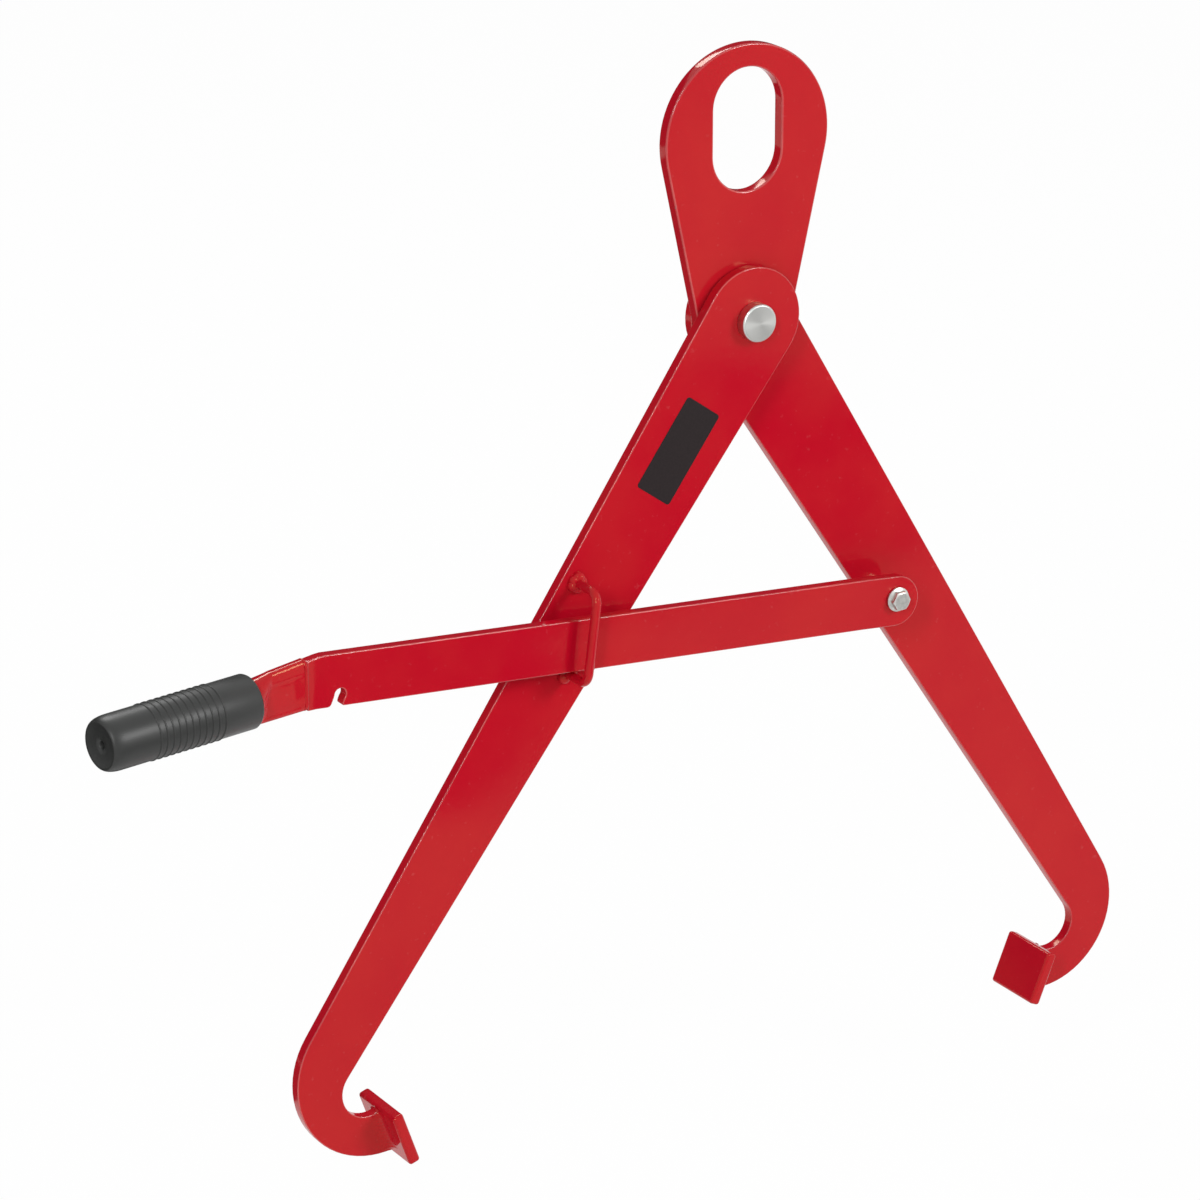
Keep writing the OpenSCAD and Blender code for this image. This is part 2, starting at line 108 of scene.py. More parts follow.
def red_enamel(name, thick, thin, chips, shine, gleam):
    """Gloss enamel on steel: an even red with a faint orange peel under a tinted gloss.

    Chips of 0.03 let the steel show in spots, and chips of -0.2 nowhere.
    """
    material, tree, place = new_finish(name)
    # The spray lies a little thicker in clouds of about 70 mm, and faint pale pink specks lie in it every
    # few millimetres
    clouds = add(tree, "ShaderNodeTexNoise", {"Vector": place, "Scale": 1 / 0.07, "Detail": 3})
    pale_speck_noise = add(tree, "ShaderNodeTexNoise", {"Vector": place, "Scale": 1 / 0.004, "Detail": 4})
    depth = add(tree, "ShaderNodeMapRange", {
        "Value": clouds.outputs["Fac"], "From Min": 0.35, "From Max": 0.65})
    # In the edge finish the paler of the two colours is partly a painted highlight along the edges
    # A mix of colours takes its share at place 0, its two colours at 6 and 7, and gives the result at 2
    paint = add(tree, "ShaderNodeMix", {
        0: depth.outputs[0], 6: linear(thick), 7: linear(thin)}, data_type="RGBA")
    speck = add(tree, "ShaderNodeMapRange", {
        "Value": pale_speck_noise.outputs["Fac"], "From Min": 0.66, "From Max": 0.8, "To Max": 0.12})
    specked_paint = add(tree, "ShaderNodeMix", {
        0: speck.outputs[0], 6: paint.outputs[2], 7: linear("#d8888a")}, data_type="RGBA")
    # Chips of 2 to 5 mm along a rubbed edge show the grey steel
    flakes = add(tree, "ShaderNodeTexNoise", {
        "Vector": place, "Scale": 1 / 0.006, "Detail": 5, "Roughness": 0.7})
    chip = add(tree, "ShaderNodeMapRange", {
        "Value": flakes.outputs["Fac"], "From Min": 0.70 - chips, "From Max": 0.74 - chips})
    bare = add(tree, "ShaderNodeMix", {
        0: chip.outputs[0], 6: specked_paint.outputs[2], 7: linear("#8d7c7b")}, data_type="RGBA")
    # Gloss that dulls slightly in patches, over an orange peel with a 3 mm wave
    gloss = add(tree, "ShaderNodeMapRange", {
        "Value": clouds.outputs["Fac"], "From Min": 0.3, "From Max": 0.7, "To Min": 0.08, "To Max": 0.14})
    peel = add(tree, "ShaderNodeTexNoise", {"Vector": place, "Scale": 1 / 0.003, "Detail": 1})
    bump = add(tree, "ShaderNodeBump", {"Height": peel.outputs["Fac"], "Strength": 0.1, "Distance": 0.0002})
    shader = add(tree, "ShaderNodeBsdfPrincipled", {
        "Base Color": bare.outputs[2], "Roughness": gloss.outputs[0], "Normal": bump.outputs[0],
        "IOR": 1.5, "Specular IOR Level": shine, "Specular Tint": linear(gleam)})
    add(tree, "ShaderNodeOutputMaterial", {"Surface": shader.outputs[0]})
    return material


enamel = red_enamel("gloss_red_enamel", "#be0a24", "#c21826", -0.2, 0.25, "#ffecae")
# On the broken edges the enamel is thinner and chipped, and its paler pink is partly a painted highlight
enamel_edge_with_painted_highlight = red_enamel("thin_red_enamel_and_painted_highlight_on_edges", "#b8141f", "#d04a48", 0.03, 0.7, "#ffffff")


def soft_edged(node, edge, finishes, segments=2):
    """Stands for a CAD solid as a copy with broken edges; the edges take the second finish."""
    mesh = frame["nodes"][node].data.copy()
    work = bmesh.new()
    work.from_mesh(mesh)
    # Points closer than half the edge's width are merged, because a bevel folds over at so short a side
    bmesh.ops.remove_doubles(work, verts=work.verts, dist=edge / 2)
    bmesh.ops.dissolve_limit(work, angle_limit=math.radians(0.5), verts=work.verts, edges=work.edges)
    for face in work.faces:
        face.smooth = True
        face.material_index = 0
    work.to_mesh(mesh)
    work.free()
    mesh.materials.clear()
    for finish in finishes:
        mesh.materials.append(finish)
    piece = bpy.data.objects.new(node + "_finished", mesh)
    bpy.context.scene.collection.objects.link(piece)
    bevel = piece.modifiers.new("broken_edges", "BEVEL")
    bevel.width = edge
    bevel.segments = segments
    bevel.limit_method = "ANGLE"
    bevel.angle_limit = math.radians(35)
    bevel.material = len(finishes) - 1
    bevel.use_clamp_overlap = False
    flat = piece.modifiers.new("flat_faces", "WEIGHTED_NORMAL")
    flat.mode = "FACE_AREA"
    flat.weight = 100
    made_plain(piece)
    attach(piece, frame["nodes"][node]["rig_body"])
    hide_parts(node)
    return piece


def made_plain(piece):
    """Turns a piece with modifiers into the plain mesh that they make."""
    bpy.context.view_layer.update()
    result = bpy.data.meshes.new_from_object(piece.evaluated_get(bpy.context.evaluated_depsgraph_get()))
    piece.modifiers.clear()
    piece.data = result


lug_edge = 0.0011
soft_edged("lifting_lug", lug_edge, [enamel, enamel_edge_with_painted_highlight])

# Arms: two long plates of 8 mm steel, hooked at the lower end, one in front of the lug and one behind.
# Cut from plate and enamelled; both turn on the pivot pin.

arm_edge = 0.0007
for arm in ("front_arm", "rear_arm"):
    soft_edged(arm, arm_edge, [enamel, enamel_edge_with_painted_highlight])

# Label place on the front arm's face: a bare charcoal vinyl panel with rounded corners.
# A 0.2 mm film, stuck on along the arm below the pivot.

front_lean = math.radians(35.4)
pivot_z = -0.138
front_arm_frame = Matrix.Translation((0, 0, pivot_z)) @ Matrix.Rotation(front_lean, 4, "Y")
arm_face_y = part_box("front_arm")[0].y


def new_piece(name, work, finish, body):
    """Makes a mesh into a finished piece, with its faces outwards, that moves with a body."""
    bmesh.ops.remove_doubles(work, verts=work.verts, dist=1e-7)
    bmesh.ops.recalc_face_normals(work, faces=work.faces)
    for face in work.faces:
        face.smooth = True
    mesh = bpy.data.meshes.new(name)
    work.to_mesh(mesh)
    work.free()
    mesh.materials.append(finish)
    piece = bpy.data.objects.new(name, mesh)
    bpy.context.scene.collection.objects.link(piece)
    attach(piece, body)
    return piece


def label_vinyl():
    """Plain label vinyl: dull charcoal with a slight grain, a satin film."""
    material, tree, place = new_finish("charcoal_label_vinyl")
    grain = add(tree, "ShaderNodeTexNoise", {"Vector": place, "Scale": 1 / 0.0015, "Detail": 3})
    tone = add(tree, "ShaderNodeMix", {
        0: grain.outputs["Fac"], 6: linear("#241e1f"), 7: linear("#302829")}, data_type="RGBA")
    bump = add(tree, "ShaderNodeBump", {
        "Height": grain.outputs["Fac"], "Strength": 0.05, "Distance": 0.0001})
    shader = add(tree, "ShaderNodeBsdfPrincipled", {
        "Base Color": tone.outputs[2], "Normal": bump.outputs[0], "Roughness": 0.35, "IOR": 1.5,
        "Specular IOR Level": 0.15})
    add(tree, "ShaderNodeOutputMaterial", {"Surface": shader.outputs[0]})
    return material


label_width, label_length, label_corner, label_film, corner_points = 0.029, 0.066, 0.002, 0.0002, 6
label_middle = Vector((-0.0005, 0, -0.096))
label = bmesh.new()
outline = []
for turn, (sx, sz) in enumerate([(1, 1), (-1, 1), (-1, -1), (1, -1)]):
    for step in range(corner_points):
        a = math.radians(90 * turn + 90 * step / (corner_points - 1))
        outline.append(label_middle + Vector((
            sx * (label_width / 2 - label_corner) + label_corner * math.cos(a), 0,
            sz * (label_length / 2 - label_corner) + label_corner * math.sin(a))))
rings = [[label.verts.new(front_arm_frame @ (p + Vector((0, y, 0)))) for p in outline]
         for y in (arm_face_y, arm_face_y - label_film)]
for a, b, c, d in zip(rings[0], rings[0][1:] + rings[0][:1], rings[1][1:] + rings[1][:1], rings[1]):
    label.faces.new((a, b, c, d))
for ring in rings:
    label.faces.new(ring)
label_piece = new_piece("label_panel", label, label_vinyl(), "front_arm_body")
label_piece.data.set_sharp_from_angle(angle=math.radians(30))

# Pads: flat plates of 8 mm steel across the tips of the hooks, which take hold of the drum.
# Cut from bar, welded to the tip with a fillet on each side, and enamelled with the arm.

pad_edge, pad_edge_steps = 0.0021, 4
for pad in ("front_pad", "rear_pad"):
    soft_edged(pad, pad_edge, [enamel, enamel], pad_edge_steps)


def laid_fillet(work, frame_of_line, length, leg):
    """Adds a hollow weld fillet to a mesh, along X in the corner between the frame's Y and Z directions."""
    pitch, ripple, end_round, root, steps, section_steps = 0.0024, 0.05, 0.003, 0.0002, 48, 8
    shares = [k / section_steps for k in range(section_steps + 1)]
    rings = []
    for i in range(steps + 1):
        x = length * i / steps
        from_end = max(root, min(x, length - x))
        swell = 1 + ripple * math.sin(2 * math.pi * x / pitch)
        size = leg * math.sqrt(min(1, from_end / end_round)) * swell
        ring = [(size * (1 - t) ** 2, size * t ** 2) for t in shares]
        ring.append((-root, -root))
        rings.append([work.verts.new(frame_of_line @ Vector((x, y, z))) for y, z in ring])
    for near, far in zip(rings, rings[1:]):
        for k in range(len(near)):
            work.faces.new((near[k], near[k - 1], far[k - 1], far[k]))
    for end in (rings[0], rings[-1]):
        work.faces.new(end)


rear_lean = math.radians(32.6)
rear_arm_frame = (Matrix.Translation((0, 0, pivot_z)) @ Matrix.Rotation(-rear_lean, 4, "Y")
                  @ Matrix.Diagonal((-1, 1, 1, 1)))
pad_x, pad_z, pad_lean = 0.072364, -0.562046, math.radians(35.2)
pad_place = Matrix.Translation((pad_x, 0, pad_z)) @ Matrix.Rotation(pad_lean, 4, "Y")
arm_middle, arm_half, pad_back, fillet_leg, top_leg = 0.0095, 0.004, -0.008, 0.0078, 0.0026
tip_top, tip_bottom = -0.0165, 0.0138
for arm, arm_place, mid in (("front", front_arm_frame, -arm_middle), ("rear", rear_arm_frame, arm_middle)):
    fillets = bmesh.new()
    for side in (-1, 1):
        corner = (Matrix.Translation((tip_top, mid + side * arm_half, pad_back))
                  @ Matrix.Diagonal((1, side, -1, 1)))
        laid_fillet(fillets, arm_place @ pad_place @ corner, tip_bottom - tip_top, fillet_leg)
    along_y = Matrix(((0, -1, 0, tip_top), (1, 0, 0, mid - arm_half), (0, 0, -1, pad_back), (0, 0, 0, 1)))
    laid_fillet(fillets, arm_place @ pad_place @ along_y, 2 * arm_half, top_leg)
    fillet_piece = new_piece(arm + "_pad_fillets", fillets, enamel, arm + "_arm_body")
    fillet_piece.data.set_sharp_from_angle(angle=math.radians(40))
    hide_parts(arm + "_pad_welds")

# Pivot pin: a turned steel pin with a flat round head, left bright, that both arms turn on.
# A washer and a split pin hold it behind the rear arm; thin washers keep the plates apart.


def turned_steel():
    """Steel faced on a lathe: fine rings round the pin's axis spread the light into two bright fans."""
    material, tree, place = new_finish("turned_bright_steel")
    # Tool marks are 0.1 mm apart, drawn at 0.8 mm so that they show; rings of scale 1 come 3.2 to the metre
    centred = add(tree, "ShaderNodeMapping", {"Vector": place, "Location": (0, 0, -pivot_z)})
    marks = add(tree, "ShaderNodeTexWave", {
        "Vector": centred.outputs[0], "Scale": 1 / 0.0008 / 3.2, "Distortion": 0.6, "Detail": 2},
        wave_type="RINGS", rings_direction="Y")
    tone = add(tree, "ShaderNodeMix", {
        0: marks.outputs["Fac"], 6: linear("#b8b8b5"), 7: linear("#d6d6d3")}, data_type="RGBA")
    rough = add(tree, "ShaderNodeMapRange", {"Value": marks.outputs["Fac"], "To Min": 0.26, "To Max": 0.38})
    bump = add(tree, "ShaderNodeBump", {
        "Height": marks.outputs["Fac"], "Strength": 0.15, "Distance": 0.0001})
    round_axis = add(tree, "ShaderNodeTangent", direction_type="RADIAL", axis="Y")
    shader = add(tree, "ShaderNodeBsdfPrincipled", {
        "Base Color": tone.outputs[2], "Metallic": 1.0, "Roughness": rough.outputs[0], "Anisotropic": 0.7,
        "Tangent": round_axis.outputs[0], "Normal": bump.outputs[0]})
    add(tree, "ShaderNodeOutputMaterial", {"Surface": shader.outputs[0]})
    return material


def zinc_plate():
    """Bright zinc plating: pale grey with a faint mottle of crystals about 2 mm across."""
    material, tree, place = new_finish("bright_zinc_plate")
    crystals = add(tree, "ShaderNodeTexVoronoi", {"Vector": place, "Scale": 1 / 0.002})
    mottle = add(tree, "ShaderNodeMix", {
        0: crystals.outputs["Distance"], 6: linear("#d4d4d0"), 7: linear("#b6b6b2")}, data_type="RGBA")
    rough = add(tree, "ShaderNodeMapRange", {
        "Value": crystals.outputs["Distance"], "To Min": 0.28, "To Max": 0.4})
    shader = add(tree, "ShaderNodeBsdfPrincipled", {
        "Base Color": mottle.outputs[2], "Metallic": 1.0, "Roughness": rough.outputs[0]})
    add(tree, "ShaderNodeOutputMaterial", {"Surface": shader.outputs[0]})
    return material


steel, zinc = turned_steel(), zinc_plate()
pin_edge = 0.0004
soft_edged("pivot_pin", pin_edge, [steel, steel])
for hidden in ("thrust_washers", "tail_washer", "split_pin"):
    frame["nodes"][hidden].data.materials.clear()
    frame["nodes"][hidden].data.materials.append(zinc)

# Guide staple: a 6 mm round bar bent into a U that keeps the lever against the front arm.
# Both feet are welded to the arm's face, and the enamel runs over the welds.


def weld_bead_tree():
    """A bead of overlapping ripples along a line, as a welder lays it."""
    tree = bpy.data.node_groups.new("weld_bead", "GeometryNodeTree")
    for name, kind in (("Path", "Geometry"), ("Ripple spacing", "Float"), ("Bead radius", "Float"),
                       ("Unevenness", "Float"), ("Finish", "Material")):
        tree.interface.new_socket(name, in_out="INPUT", socket_type="NodeSocket" + kind)
    tree.interface.new_socket("Bead", in_out="OUTPUT", socket_type="NodeSocketGeometry")
    given = add(tree, "NodeGroupInput").outputs
    line = add(tree, "GeometryNodeMeshToCurve", {"Mesh": given["Path"]})
    steps = add(tree, "GeometryNodeResampleCurve", {
        "Curve": line.outputs[0], "Length": given["Ripple spacing"]}, mode="LENGTH")
    drop = add(tree, "GeometryNodeMeshIcoSphere", {"Radius": given["Bead radius"], "Subdivisions": 3})
    along = add(tree, "GeometryNodeInputTangent")
    turn = add(tree, "FunctionNodeAlignRotationToVector", {"Vector": along.outputs[0]}, axis="X")
    low = add(tree, "ShaderNodeMath", {0: 1.0, 1: given["Unevenness"]}, operation="SUBTRACT")
    high = add(tree, "ShaderNodeMath", {0: 1.0, 1: given["Unevenness"]}, operation="ADD")
    size = add(tree, "FunctionNodeRandomValue", {"Seed": 7}, data_type="FLOAT")
    # The random node has a Min and a Max for each kind of value, so the float pair is linked by place
    for socket, value in ((2, low), (3, high)):
        tree.links.new(value.outputs[0], size.inputs[socket])
    ripples = add(tree, "GeometryNodeInstanceOnPoints", {
        "Points": steps.outputs[0], "Instance": drop.outputs["Mesh"], "Rotation": turn.outputs[0]})
    tree.links.new(size.outputs[1], ripples.inputs["Scale"])
    solid = add(tree, "GeometryNodeRealizeInstances", {"Geometry": ripples.outputs[0]})
    smooth = add(tree, "GeometryNodeSetShadeSmooth", {"Geometry": solid.outputs[0]})
    painted = add(tree, "GeometryNodeSetMaterial", {
        "Geometry": smooth.outputs[0], "Material": given["Finish"]})
    add(tree, "NodeGroupOutput", {"Bead": painted.outputs[0]})
    return tree


weld_bead = weld_bead_tree()


def fitted(modifier, tree, values):
    """Gives a modifier its tree and sets the tree's named inputs, each by its socket's identifier."""
    modifier.node_group = tree
    for item in tree.interface.items_tree:
        if item.in_out == "INPUT" and item.name in values:
            modifier[item.identifier] = values[item.name]


def welded(name, lines, spacing, radius, unevenness, body, node):
    """Lays beads along lines of points in place of a node; a line that ends where it starts is closed."""
    points, edges = [], []
    for line in lines:
        closed = (line[0] - line[-1]).length < 1e-9
        kept = line[:-1] if closed else line
        first = len(points)
        points += [tuple(p) for p in kept]
        edges += [(first + i, first + i + 1) for i in range(len(kept) - 1)]
        if closed:
            edges.append((first + len(kept) - 1, first))
    mesh = bpy.data.meshes.new(name)
    mesh.from_pydata(points, edges, [])
    piece = bpy.data.objects.new(name, mesh)
    bpy.context.scene.collection.objects.link(piece)
    fitted(piece.modifiers.new("bead", "NODES"), weld_bead, {
        "Ripple spacing": spacing, "Bead radius": radius, "Unevenness": unevenness, "Finish": enamel})
    made_plain(piece)
    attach(piece, body)
    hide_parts(node)


staple = frame["nodes"]["guide_staple"]
staple.data.materials.clear()
staple.data.materials.append(enamel)
lever_rise = math.radians(4.2)
bolt_place = Vector((0.111191, 0, -0.344532))
lever_frame = (Matrix.Translation(bolt_place) @ Matrix.Rotation(lever_rise, 4, "Y")
               @ Matrix.Diagonal((-1, 1, 1, 1)))
staple_along, staple_low, staple_lean, staple_span = 0.249, -0.02485, math.radians(-3), 0.06038
staple_frame = (lever_frame @ Matrix.Translation((staple_along, 0, staple_low))
                @ Matrix.Rotation(staple_lean, 4, "Y"))
foot_ring, foot_rise, foot_steps = 0.0034, 0.0008, 24
foot_lines = []
# The upper foot is welded all round, the lower one only on the side away from the lever
for z, first, last in ((0, 165, 345), (staple_span, 0, 360)):
    turn = [math.radians(first + (last - first) * i / foot_steps) for i in range(foot_steps + 1)]
    foot_lines.append([staple_frame @ Vector((foot_ring * math.cos(a), arm_face_y - foot_rise,
                                              z + foot_ring * math.sin(a))) for a in turn])
bead_spacing, bead_r, bead_uneven = 0.0021, 0.0031, 0.42
welded("staple_foot_beads", foot_lines, bead_spacing, bead_r, bead_uneven, "front_arm_body", "staple_welds")

# Locking lever: a flat steel bar that runs from the bolt on the rear arm through the staple.
# Its lower edge has a hooked notch that drops over the staple's lower leg; bent at the handle's end.

lever_edge = 0.0008
lever_bar = soft_edged("locking_lever", lever_edge, [enamel, enamel_edge_with_painted_highlight])
# The upper edge falls only slightly past the bend, where it runs into the weld
bend_at, edge_fall = 0.438, 1.8 / 11
in_lever = lever_frame.inverted()
for vertex in lever_bar.data.vertices:
    spot = in_lever @ vertex.co
    if spot.z > 0 and spot.x > bend_at:
        spot.z += edge_fall * (spot.x - bend_at)
        vertex.co = lever_frame @ spot

# Lever bolt: a zinc plated flange bolt with a bush, a washer and a lock nut.
# Together they hold the lever off the rear arm and let it turn.

bolt_frame = Matrix.Translation(bolt_place) @ Matrix.Rotation(-rear_lean, 4, "Y")
head_under, bolt_end, shank_r, flange_r, flange_t = -0.0197, 0.0251, 0.004, 0.00825, 0.0016
half_flats, head_high, head_turn, top_r = 0.006, 0.0065, math.radians(28), 0.0054
flange_rim, flange_slope, bolt_facets, sixth = 0.0003, 0.43, 72, math.radians(60)
bolt = bmesh.new()
rings = [[] for _ in range(8)]
for i in range(bolt_facets):
    a = 2 * math.pi * i / bolt_facets
    hexagon = half_flats / math.cos((a - head_turn) % sixth - sixth / 2)
    foot = flange_t + (flange_r - hexagon) * flange_slope
    chamfer = head_high - (hexagon - top_r) * math.tan(sixth / 2)
    section = [(shank_r, head_under - bolt_end), (shank_r, 0), (flange_r - flange_rim, 0),
               (flange_r, flange_rim), (flange_r, flange_t), (hexagon, foot), (hexagon, chamfer),
               (top_r, head_high)]
    for ring, (r, h) in zip(rings, section):
        ring.append(bolt.verts.new(bolt_frame @ Vector((r * math.cos(a), head_under - h, r * math.sin(a)))))
for near, far in zip(rings, rings[1:]):
    for i in range(bolt_facets):
        bolt.faces.new((near[i - 1], near[i], far[i], far[i - 1]))
for end in (rings[0], rings[-1]):
    bolt.faces.new(end)
bolt_body = frame["nodes"]["lever_bolt"]["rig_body"]
bolt_piece = new_piece("lever_bolt_finished", bolt, zinc, bolt_body)
bolt_piece.data.set_sharp_from_angle(angle=math.radians(25))
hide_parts("lever_bolt")
for fastener in ("lever_bush", "nut_washer", "lever_nut"):
    frame["nodes"][fastener].data.materials.clear()
    frame["nodes"][fastener].data.materials.append(zinc)

# Handle tube: a 25 mm steel tube, pressed flat at one end and welded to the lever's end.
# Enamelled with the lever; the press leaves a slanting crease where the flat opens into the round.

handle_start, handle_yaw, handle_drop = (0.45276, -0.03458, -0.0023), math.radians(-9.6), math.radians(5)
handle_frame = (lever_frame @ Matrix.Translation(handle_start)
                @ Matrix.Rotation(handle_yaw, 4, "Z") @ Matrix.Rotation(handle_drop, 4, "Y"))
tube_r, flat_half, flat_high, flat_long, open_long, tube_end = 0.0125, 0.005, 0.01678, 0.028, 0.012, 0.141
crease_slant, press_depth, panel_top, panel_bottom, fold = 0.28, 0.0005, 0.0085, -0.0142, 0.0016
around, top_fall = 96, 0.11


def flat_section(a, pressed):
    """The pressed end's outline at an angle: flat sides, round edges and the die's shallow panel."""
    y = flat_half * math.copysign(abs(math.sin(a)) ** 0.5, math.sin(a))
    z = flat_high * math.copysign(abs(math.cos(a)) ** 0.8, math.cos(a))
    inside = max(0, min(1, (panel_top - z) / fold, (z - panel_bottom) / fold))
    return y - math.copysign(pressed * press_depth * inside, y), z


tube = bmesh.new()
# Each station: its distance along the tube, and its shares of the round, the slant and the press
stations = [
    (0, 0, 0, 0), (0.0012, 0, 0.04, 0), (0.0024, 0, 0.08, 1), (0.009, 0, 0.3, 1), (0.018, 0, 0.62, 1),
    (flat_long - 0.0016, 0, 0.95, 1), (flat_long, 0.02, 1, 0.8), (flat_long + 0.0012, 0.16, 1, 0),
    (flat_long + open_long * 0.3, 0.40, 0.75, 0), (flat_long + open_long * 0.6, 0.72, 0.4, 0),
    (flat_long + open_long * 0.85, 0.93, 0.12, 0), (flat_long + open_long, 1, 0, 0), (tube_end, 1, 0, 0)]
sections = []
for x, share, slant, pressed in stations:
    ring = []
    for i in range(around):
        a = 2 * math.pi * i / around
        fy, fz = flat_section(a, pressed)
        fz *= 1 - top_fall * min(1, x / flat_long) * (fz > 0)
        y = fy + share * (tube_r * math.sin(a) - fy)
        z = fz + share * (tube_r * math.cos(a) - fz)
        ring.append(tube.verts.new(handle_frame @ Vector((x - crease_slant * slant * z, y, z))))
    sections.append(ring)
for near, far in zip(sections, sections[1:]):
    for i in range(around):
        tube.faces.new((near[i - 1], near[i], far[i], far[i - 1]))
for end in (sections[0], sections[-1]):
    tube.faces.new(end)
tube_piece = new_piece("handle_tube_pressed", tube, enamel, "lever_body")
tube_piece.data.set_sharp_from_angle(angle=math.radians(40))
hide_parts("handle_tube")
weld_edge, weld_edge_steps = 0.0011, 3
soft_edged("handle_weld", weld_edge, [enamel, enamel], weld_edge_steps)

# Hand grip: a moulded rubber sleeve pushed over the tube, with fine ribs and a rounded end.
# Dull charcoal rubber; the small hole in its end lets the air out when it is pushed on.


def grip_rubber():
    """Moulded rubber: dull charcoal with a fine grain, rubbed slightly paler in patches."""
    material, tree, place = new_finish("moulded_charcoal_rubber")
    patches = add(tree, "ShaderNodeTexNoise", {"Vector": place, "Scale": 1 / 0.02, "Detail": 4})
    tone = add(tree, "ShaderNodeMix", {
        0: patches.outputs["Fac"], 6: linear("#232423"), 7: linear("#2e2f2e")}, data_type="RGBA")
    grain = add(tree, "ShaderNodeTexNoise", {"Vector": place, "Scale": 1 / 0.0008, "Detail": 2})
    bump = add(tree, "ShaderNodeBump", {
        "Height": grain.outputs["Fac"], "Strength": 0.15, "Distance": 0.0002})
    rough = add(tree, "ShaderNodeMapRange", {
        "Value": patches.outputs["Fac"], "To Min": 0.36, "To Max": 0.46})
    shader = add(tree, "ShaderNodeBsdfPrincipled", {
        "Base Color": tone.outputs[2], "Roughness": rough.outputs[0], "Normal": bump.outputs[0],
        "IOR": 1.5, "Specular IOR Level": 0.45})
    add(tree, "ShaderNodeOutputMaterial", {"Surface": shader.outputs[0]})
    return material


rubber = grip_rubber()
grip_start, grip_long, grip_r, face_r, hole_r, bore_r = 0.04005, 0.1097, 0.0175, 0.0146, 0.0025, 0.01255
shoulder, lip, grip_facets = 0.0095, 0.0015, 72
# From the open end along the outside, round the shoulder, over the dished end and into the air hole
profile = [(0, bore_r), (0, grip_r - lip), (lip * 0.2, grip_r - lip * 0.4), (lip, grip_r), (0.05, grip_r),
           (grip_long - 2 * shoulder, grip_r)]
profile += [(grip_long - shoulder * (1 - math.sin(a)), face_r + (grip_r - face_r) * math.cos(a))
            for a in (math.radians(9 * i) for i in range(11))]
profile += [(grip_long - 0.0004, face_r - 0.0012), (grip_long - 0.0012, hole_r + 0.004),
            (grip_long - 0.0014, hole_r + 0.0008), (grip_long - 0.0022, hole_r),
            (grip_long - 0.0100, hole_r), (grip_long - 0.0104, bore_r)]
grip = bmesh.new()
turns = [2 * math.pi * i / grip_facets for i in range(grip_facets)]
rings = [[grip.verts.new(handle_frame @ Vector((grip_start + x, r * math.sin(a), r * math.cos(a))))
          for a in turns] for x, r in profile]
for near, far in zip(rings, rings[1:] + rings[:1]):
    for i in range(grip_facets):
        after = (i + 1) % grip_facets
        grip.faces.new((near[i], near[after], far[after], far[i]))
grip_piece = new_piece("hand_grip_sleeve", grip, rubber, "lever_body")
grip_piece.data.set_sharp_from_angle(angle=math.radians(60))
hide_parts("hand_grip")


def grip_ribs_tree():
    """Round ribs along a line, one every pitch."""
    tree = bpy.data.node_groups.new("grip_ribs", "GeometryNodeTree")
    for name, kind in (("Sleeve", "Geometry"), ("Count", "Int"), ("Pitch", "Float"),
                       ("Ring radius", "Float"), ("Rib radius", "Float"), ("Finish", "Material")):
        tree.interface.new_socket(name, in_out="INPUT", socket_type="NodeSocket" + kind)
    tree.interface.new_socket("Ribs", in_out="OUTPUT", socket_type="NodeSocketGeometry")
    given = add(tree, "NodeGroupInput").outputs
    stride = add(tree, "ShaderNodeCombineXYZ", {"Z": given["Pitch"]})
    row = add(tree, "GeometryNodeMeshLine", {"Count": given["Count"], "Offset": stride.outputs[0]})
    ring = add(tree, "GeometryNodeCurvePrimitiveCircle", {
        "Radius": given["Ring radius"], "Resolution": grip_facets})
    section = add(tree, "GeometryNodeCurvePrimitiveCircle", {
        "Radius": given["Rib radius"], "Resolution": 10})
    rib = add(tree, "GeometryNodeCurveToMesh", {
        "Curve": ring.outputs[0], "Profile Curve": section.outputs[0]})
    ribs = add(tree, "GeometryNodeInstanceOnPoints", {"Points": row.outputs[0], "Instance": rib.outputs[0]})
    solid = add(tree, "GeometryNodeRealizeInstances", {"Geometry": ribs.outputs[0]})
    smooth = add(tree, "GeometryNodeSetShadeSmooth", {"Geometry": solid.outputs[0]})
    painted = add(tree, "GeometryNodeSetMaterial", {
        "Geometry": smooth.outputs[0], "Material": given["Finish"]})
    add(tree, "NodeGroupOutput", {"Ribs": painted.outputs[0]})
    return tree


first_rib, rib_count, rib_pitch, rib_r, rib_sink = 0.0288, 11, 0.0048, 0.0007, 0.0002
ribs_piece = bpy.data.objects.new("hand_grip_ribs", bpy.data.meshes.new("hand_grip_ribs"))
bpy.context.scene.collection.objects.link(ribs_piece)
fitted(ribs_piece.modifiers.new("ribs", "NODES"), grip_ribs_tree(), {
    "Count": rib_count, "Pitch": rib_pitch, "Ring radius": grip_r - rib_sink, "Rib radius": rib_r,
    "Finish": rubber})
made_plain(ribs_piece)
ribs_piece.data.transform(handle_frame @ Matrix.Translation((grip_start + first_rib, 0, 0))
                          @ Matrix.Rotation(math.radians(90), 4, "Y"))
ribs_piece.data.flip_normals()
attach(ribs_piece, "lever_body")

# Studio: a white floor under the tongs, a large soft light to the front right, a strip to the left
# and a soft light behind. The camera stands to the left of the tongs and looks slightly down,
# with a long lens.


def background_ray(tree):
    """1 where a ray shows the background: from the camera, off gloss or through glass."""
    ray = add(tree, "ShaderNodeLightPath").outputs
    seen = add(tree, "ShaderNodeMath", {
        0: ray["Is Camera Ray"], 1: ray["Is Glossy Ray"]}, operation="MAXIMUM")
    shown = add(tree, "ShaderNodeMath", {
        0: seen.outputs[0], 1: ray["Is Transmission Ray"]}, operation="MAXIMUM")
    return shown.outputs[0]


